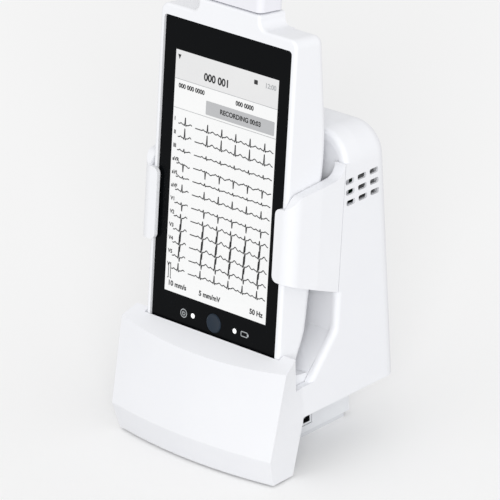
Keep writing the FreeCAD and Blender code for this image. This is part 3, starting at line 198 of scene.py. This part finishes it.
# Display picture: a lit panel behind the glass, drawn just ahead of the glass face so that it shows.
# It has a header, a soft key, twelve traces with their lead names, and a footer; all words are generic.
LEAN = math.radians(8.4)
GLASS_FOOT = np.array([0.0, -23.7, 46.5])
ACROSS = np.array([1.0, 0.0, 0.0])
UP = np.array([0.0, math.sin(LEAN), math.cos(LEAN)])
OUT = np.array([0.0, -math.cos(LEAN), math.sin(LEAN)])
SCREEN_WIDE, SCREEN_TALL, SCREEN_MIDDLE = 62.26, 110.69, 76.5
PAPER_PROUD, PANEL_PROUD, INK_PROUD = 0.03, 0.06, 0.09


def on_glass(flat, proud):
    """Points of a flat drawing on the glass, in metres: foot + x * across + z * up + proud * out."""
    flat = np.asarray(flat, float)
    reach = np.broadcast_to(proud, flat.shape[:1])
    return (GLASS_FOOT + flat[:, :1] * ACROSS + flat[:, 1:2] * UP + reach[:, None] * OUT) / 1000


def on_screen(across, down):
    """Screen place, as shares of its width and height from the upper left, in mm on the glass."""
    across, down = np.broadcast_arrays(across, down)
    return np.stack([(across - 0.5) * SCREEN_WIDE, SCREEN_MIDDLE + (0.5 - down) * SCREEN_TALL], -1)


def round_rectangle(left, right, top, bottom, radius):
    """Closed loop of a rectangle with round corners: corner middle + radius * (cos a, sin a), with a
    going through a quarter turn at each corner."""
    turn = np.linspace(0, math.pi / 2, 7) + np.arange(4)[:, None] * math.pi / 2
    low, high = np.array([left, bottom]) + radius, np.array([right, top]) - radius
    middle = np.array([[high[0], high[1]], [low[0], high[1]], [low[0], low[1]], [high[0], low[1]]])
    return (middle[:, None] + radius * np.stack([np.cos(turn), np.sin(turn)], -1)).reshape(-1, 2)


def ribbon(path, width):
    """A line of even width: each point moved by half the width to both sides, along the path's normal."""
    along = np.gradient(path, axis=0)
    along /= np.linalg.norm(along, axis=1, keepdims=True)
    side = np.stack([-along[:, 1], along[:, 0]], -1) * width / 2
    first = np.arange(len(path) - 1)
    second = first + len(path)
    faces = np.stack([first, first + 1, second + 1, second], -1).tolist()
    return np.concatenate([path - side, path + side]), faces


def letters(words, height, place, middle=0.0):
    """Words in the built-in font as a flat mesh in mm. The font's capitals are 0.7 of its size, and each
    stroke is thickened by a twentieth of their height. middle is the share of the width left of place."""
    curve = bpy.data.curves.new("letters", "FONT")
    curve.body = words
    curve.size = height / 0.7
    curve.offset = height / 20
    holder = bpy.data.objects.new("letters", curve)
    scene.collection.objects.link(holder)
    flat = bpy.data.meshes.new_from_object(holder.evaluated_get(bpy.context.evaluated_depsgraph_get()))
    points = np.empty(len(flat.vertices) * 3)
    flat.vertices.foreach_get("co", points)
    points = points.reshape(-1, 3)[:, :2]
    faces = [tuple(face.vertices) for face in flat.polygons]
    bpy.data.objects.remove(holder)
    bpy.data.curves.remove(curve)
    bpy.data.meshes.remove(flat)
    shift = np.array([np.ptp(points[:, 0]) * middle, 0.0])
    return points - shift + place, faces


def joined(drawings):
    """Several flat drawings as one: points stacked, and each one's faces counted on from those before."""
    starts = np.cumsum([0] + [len(points) for points, faces in drawings])
    faces = [
        tuple(int(i) + int(start) for i in face)
        for (points, own_faces), start in zip(drawings, starts)
        for face in own_faces
    ]
    return np.concatenate([points for points, faces in drawings]), faces


def mount_drawing(name, drawings, proud, material):
    """Puts flat drawings on the glass as one piece that rides on the recorder."""
    points, faces = joined(drawings)
    mesh = bpy.data.meshes.new(name)
    mesh.from_pydata(on_glass(points, proud).tolist(), [], faces)
    mesh.materials.append(material)
    piece = bpy.data.objects.new(name, mesh)
    scene.collection.objects.link(piece)
    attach(piece, "recorder")
    return piece


def filled(loop):
    """A closed loop as a drawing of one face."""
    return loop, [tuple(range(len(loop)))]


def screen_box(left, right, top, bottom, radius=0.05):
    """A filled box given in shares of the screen."""
    upper, lower = on_screen(left, top), on_screen(right, bottom)
    return filled(round_rectangle(upper[0], lower[0], upper[1], lower[1], radius))


def lit(name, dark, light, glow):
    """A lit display colour: the grained material with the share glow of its light colour given off, since
    a display is lit from within."""
    return grained(
        name, dark, light, 3.0, 0.0002, 0.3,
        {"IOR": 1.5, "Emission Color": linear(light), "Emission Strength": glow}, 20.0,
    )


mount_drawing(
    "screen_paper", [screen_box(0, 1, 0, 1)], PAPER_PROUD,
    lit("lit_display_white", "#ebecec", "#f0f0f0", 0.05),
)
mount_drawing(
    "screen_header", [screen_box(0, 1, 0, 0.118)], PANEL_PROUD,
    lit("lit_display_grey", "#dcdcdd", "#e2e2e2", 0.04),
)
mount_drawing(
    "screen_key", [screen_box(0.315, 0.98, 0.171, 0.228, 0.5)], PANEL_PROUD,
    lit("lit_display_key", "#b3b4b6", "#b9babc", 0.02),
)

BEATS = np.array([0.122, 0.342, 0.482, 0.619, 0.758, 0.900])
FIRST_ROW, ROW_PITCH = 0.298, 0.055
# Rise of the main spike, depth of the stroke after it, and rise of the last wave, in mm, row by row.
SPIKES = [
    (3.4, 0.5, 0.8), (4.6, 0.6, 1.0), (1.2, 0.6, 0.5), (-3.4, -0.4, -0.7), (0.9, 0.4, 0.4),
    (3.2, 0.5, 0.8), (1.0, 3.0, 0.6), (1.8, 5.6, 1.1), (3.2, 5.2, 1.3), (4.6, 3.6, 1.2),
    (5.0, 2.0, 1.0), (3.4, 0.6, 0.8),
]


def heart_trace(across, spike, stroke, wave):
    """One lead over the screen's width, in mm: bell curves before, at and after each beat, added up, each
    size * exp(-((place - lag) / spread)^2)."""
    after = across[:, None] - BEATS
    bells = (
        (0.5, -0.040, 0.0085), (-0.12 * spike, -0.008, 0.003), (spike, 0.0, 0.0032),
        (-stroke, 0.008, 0.0034), (wave, 0.052, 0.016),
    )
    return sum((size * np.exp(-((after - lag) / spread) ** 2)).sum(1) for size, lag, spread in bells)


TRACE_WIDE, PULSE_WIDE, RULE_WIDE = 0.46, 0.36, 0.25
traces = []
for row, (spike, stroke, wave) in enumerate(SPIKES):
    for left, right in ((0.055, 0.188), (0.222, 0.985)):
        across = np.linspace(left, right, int((right - left) * 900))
        line = on_screen(across, FIRST_ROW + ROW_PITCH * row)
        line[:, 1] += heart_trace(across, spike, stroke, wave)
        traces.append(ribbon(line, TRACE_WIDE))
PULSE_LOW, PULSE_HIGH = 0.945, 0.885
pulse_across = np.array([0.02, 0.03, 0.03, 0.05, 0.05, 0.06])
pulse_down = np.array([PULSE_LOW, PULSE_LOW, PULSE_HIGH, PULSE_HIGH, PULSE_LOW, PULSE_LOW])
pulse_corners = on_screen(pulse_across, pulse_down)
steps = np.linspace(0, 5, 121)
pulse = np.stack([np.interp(steps, np.arange(6), pulse_corners[:, axis]) for axis in (0, 1)], -1)
rules = [ribbon(on_screen(np.linspace(0, 1, 3), level), RULE_WIDE) for level in (0.118, 0.237)]
rules.append(letters("12:00", 2.1, on_screen(0.97, 0.045), 1.0))
LEADS = ("I", "II", "III", "aVR", "aVL", "aVF", "V1", "V2", "V3", "V4", "V5", "V6")
words = [
    letters(lead, 1.7, on_screen(0.015, FIRST_ROW - 0.008 + ROW_PITCH * row))
    for row, lead in enumerate(LEADS)
]
words += [
    letters("000 001", 3.3, on_screen(0.40, 0.092), 0.5),
    letters("000 000 0000", 2.0, on_screen(0.04, 0.152)),
    letters("000 0000", 2.0, on_screen(0.60, 0.152)),
    letters("RECORDING 00:03", 2.1, on_screen(0.65, 0.208), 0.5),
    letters("10 mm/s", 2.3, on_screen(0.03, 0.975)),
    letters("5 mm/mV", 2.3, on_screen(0.34, 0.975)),
    letters("50 Hz", 2.3, on_screen(0.97, 0.975), 1.0),
]
cell_upper, cell_lower = on_screen(0.765, 0.026), on_screen(0.800, 0.044)
arrow = on_screen(np.array([0.020, 0.052, 0.036]), np.array([0.018, 0.018, 0.038]))[::-1]
signs = [
    filled(round_rectangle(cell_upper[0], cell_lower[0], cell_upper[1], cell_lower[1], 0.3)),
    filled(arrow),
]
screen_ink = lit("lit_display_ink", "#131416", "#1a1b1d", 0.0)
ink_drawings = traces + [ribbon(pulse, PULSE_WIDE)] + words + signs
mount_drawing("screen_ink", ink_drawings, INK_PROUD, screen_ink)
screen_rule = lit("lit_display_rule", "#a9abad", "#b4b6b8", 0.02)
mount_drawing("screen_rules", rules, INK_PROUD, screen_rule)

# Marks on the glass beside the button: two status lamps shining through the print, a ringed power sign
# and a battery outline, all left clear in the black print.
BUTTON_UP = 13.45
LAMP_OUT = 12.9
turn = np.linspace(0, 2 * math.pi, 33)[:-1]
dot = np.stack([np.cos(turn), np.sin(turn)], -1) * 1.15
lamps = [filled(dot + (side * LAMP_OUT, BUTTON_UP)) for side in (-1, 1)]
lamp_white = lit("lit_status_lamp", "#f2f4f4", "#ffffff", 0.3)
mount_drawing("status_lamps", lamps, PAPER_PROUD, lamp_white)
ICON_WIDE = 0.38
POWER_PLACE = np.array([-18.6, BUTTON_UP - 0.25])
whole = np.linspace(0, 2 * math.pi, 41)
ring = np.stack([np.cos(whole), np.sin(whole)], -1) * 1.85 + POWER_PLACE
arc = np.linspace(math.radians(130), math.radians(410), 24)
hook = np.stack([np.cos(arc), np.sin(arc)], -1) * 0.85 + POWER_PLACE
bar = np.stack([np.zeros(5), np.linspace(0.1, 1.1, 5)], -1) + POWER_PLACE
case_loop = round_rectangle(16.9, 20.7, BUTTON_UP + 1.05, BUTTON_UP - 1.05, 0.35)
case_loop = np.concatenate([case_loop, case_loop[:1]])
nub = filled(round_rectangle(20.9, 21.5, BUTTON_UP + 0.55, BUTTON_UP - 0.55, 0.1))
mount_drawing(
    "glass_icons", [ribbon(line, ICON_WIDE) for line in (ring, hook, bar, case_loop)] + [nub],
    PAPER_PROUD,
    lit("clear_print_window", "#a4a8ab", "#b0b4b6", 0.03),
)

# Push button: a dark blue acrylic cap with a shallow dish for the fingertip and a rounded rim.
# It is carried by the moulded stem behind the glass and moves with it.
button_acrylic = grained(
    "dark_blue_acrylic", "#1d2733", "#232f3c", 1.0, 0.002, 0.3, {"IOR": 1.49, "Specular IOR Level": 0.2}
)
coat(button_acrylic, "home_button")
CAP_RADIUS, RIM_RADIUS = 4.3, 3.7
RIM_PROUD, DISH_PROUD, EDGE_PROUD = 0.36, 0.06, 0.01


def cap_profile(share):
    """Radius and height at a share of the cap: a bowl, dish + rise * (r / rim)^2, inside the rim, and a
    quarter round outside it."""
    radius = share * CAP_RADIUS
    bowl = DISH_PROUD + (RIM_PROUD - DISH_PROUD) * (radius / RIM_RADIUS) ** 2
    fall = np.clip((radius - RIM_RADIUS) / (CAP_RADIUS - RIM_RADIUS), 0, 1)
    edge = EDGE_PROUD + (RIM_PROUD - EDGE_PROUD) * np.sqrt(1 - fall ** 2)
    return radius, np.where(radius <= RIM_RADIUS, bowl, edge)


rim_share = RIM_RADIUS / CAP_RADIUS
share = np.concatenate([np.linspace(0.02, rim_share, 14), np.linspace(rim_share, 1, 9)[1:]])
radius, height = cap_profile(share)
around = np.linspace(0, 2 * math.pi, 65)[:-1]
cap_flat = radius[:, None, None] * np.stack([np.cos(around), np.sin(around)], -1) + (0.0, BUTTON_UP)
cap_points = on_glass(cap_flat.reshape(-1, 2), np.repeat(height, len(around)))
rings, count = len(radius), len(around)
cell_ring, cell_turn = np.meshgrid(np.arange(rings - 1), np.arange(count), indexing="ij")
cell_next = (cell_turn + 1) % count
cap_faces = np.stack([
    cell_ring * count + cell_turn, (cell_ring + 1) * count + cell_turn,
    (cell_ring + 1) * count + cell_next, cell_ring * count + cell_next,
], -1).reshape(-1, 4).tolist()
cap_faces.append(list(range(count)))
cap_mesh = bpy.data.meshes.new("button_cap")
cap_mesh.from_pydata(cap_points.tolist(), [], cap_faces)
cap_mesh.polygons.foreach_set("use_smooth", np.ones(len(cap_mesh.polygons), bool))
cap_mesh.materials.append(button_acrylic)
button_cap = bpy.data.objects.new("button_cap", cap_mesh)
scene.collection.objects.link(button_cap)
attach(button_cap, "button")

# Connector head: a very pale lavender-grey ABS moulding on the collar, with the patient lead socket in
# its top. It is a separate moulding, so its shade differs a little from the casing's.
head_abs = grained(
    "pale_lavender_grey_abs", "#e8e8ee", "#ececf2", 0.5, 0.004, 0.42,
    {"IOR": 1.53, "Specular IOR Level": 0.45},
)
coat(head_abs, "connector_head")

# Studio: a pale seamless floor in an even white tent, with one wide soft lamp beside the camera.
# The camera sees the floor paler than the dock does, so that it stays pale and still takes the shadow.
FLOOR_HALF = 6.0
floor_corners = [(x * FLOOR_HALF, y * FLOOR_HALF, 0) for x, y in ((-1, -1), (1, -1), (1, 1), (-1, 1))]
floor_mesh = bpy.data.meshes.new("floor")
floor_mesh.from_pydata(floor_corners, [], [(0, 1, 2, 3)])
floor = bpy.data.objects.new("floor", floor_mesh)
scene.collection.objects.link(floor)
floor_paint = bpy.data.materials.new("pale_studio_paper")
floor_paint.use_nodes = True
tree = floor_paint.node_tree
tree.nodes.clear()
light_path = add_node(tree, "ShaderNodeLightPath")
seen = add_node(
    tree, "ShaderNodeMath", {},
    {0: light_path.outputs["Is Camera Ray"], 1: light_path.outputs["Is Glossy Ray"]},
    operation="MAXIMUM",
)
paper = add_node(
    tree, "ShaderNodeMix", {6: linear("#dcdcdc"), 7: linear("#fbfbfb")}, {0: seen.outputs[0]},
    data_type="RGBA",
)
matt = add_node(tree, "ShaderNodeBsdfDiffuse", {}, {"Color": paper.outputs[2]})
add_node(tree, "ShaderNodeOutputMaterial", {}, {"Surface": matt.outputs["BSDF"]})
floor_mesh.materials.append(floor_paint)

TENT_LIGHT = 0.82
world = bpy.data.worlds.new("studio")
scene.world = world
world.use_nodes = True
tree = world.node_tree
tree.nodes.clear()
sky = add_node(tree, "ShaderNodeBackground", {"Color": (1, 1, 1, 1), "Strength": TENT_LIGHT})
add_node(tree, "ShaderNodeOutputWorld", {}, {"Surface": sky.outputs["Background"]})
LAMP_TOWARDS, LAMP_LIGHT, LAMP_SPREAD = Vector((0.60, -0.62, 0.28)), 1.3, math.radians(26)
lamp_data = bpy.data.lights.new("key_lamp", "SUN")
lamp_data.energy = LAMP_LIGHT
lamp_data.angle = LAMP_SPREAD
lamp = bpy.data.objects.new("key_lamp", lamp_data)
lamp.rotation_mode = "QUATERNION"
lamp.rotation_quaternion = (-LAMP_TOWARDS).to_track_quat("-Z", "Y")
scene.collection.objects.link(lamp)
scene.view_settings.view_transform = "Standard"
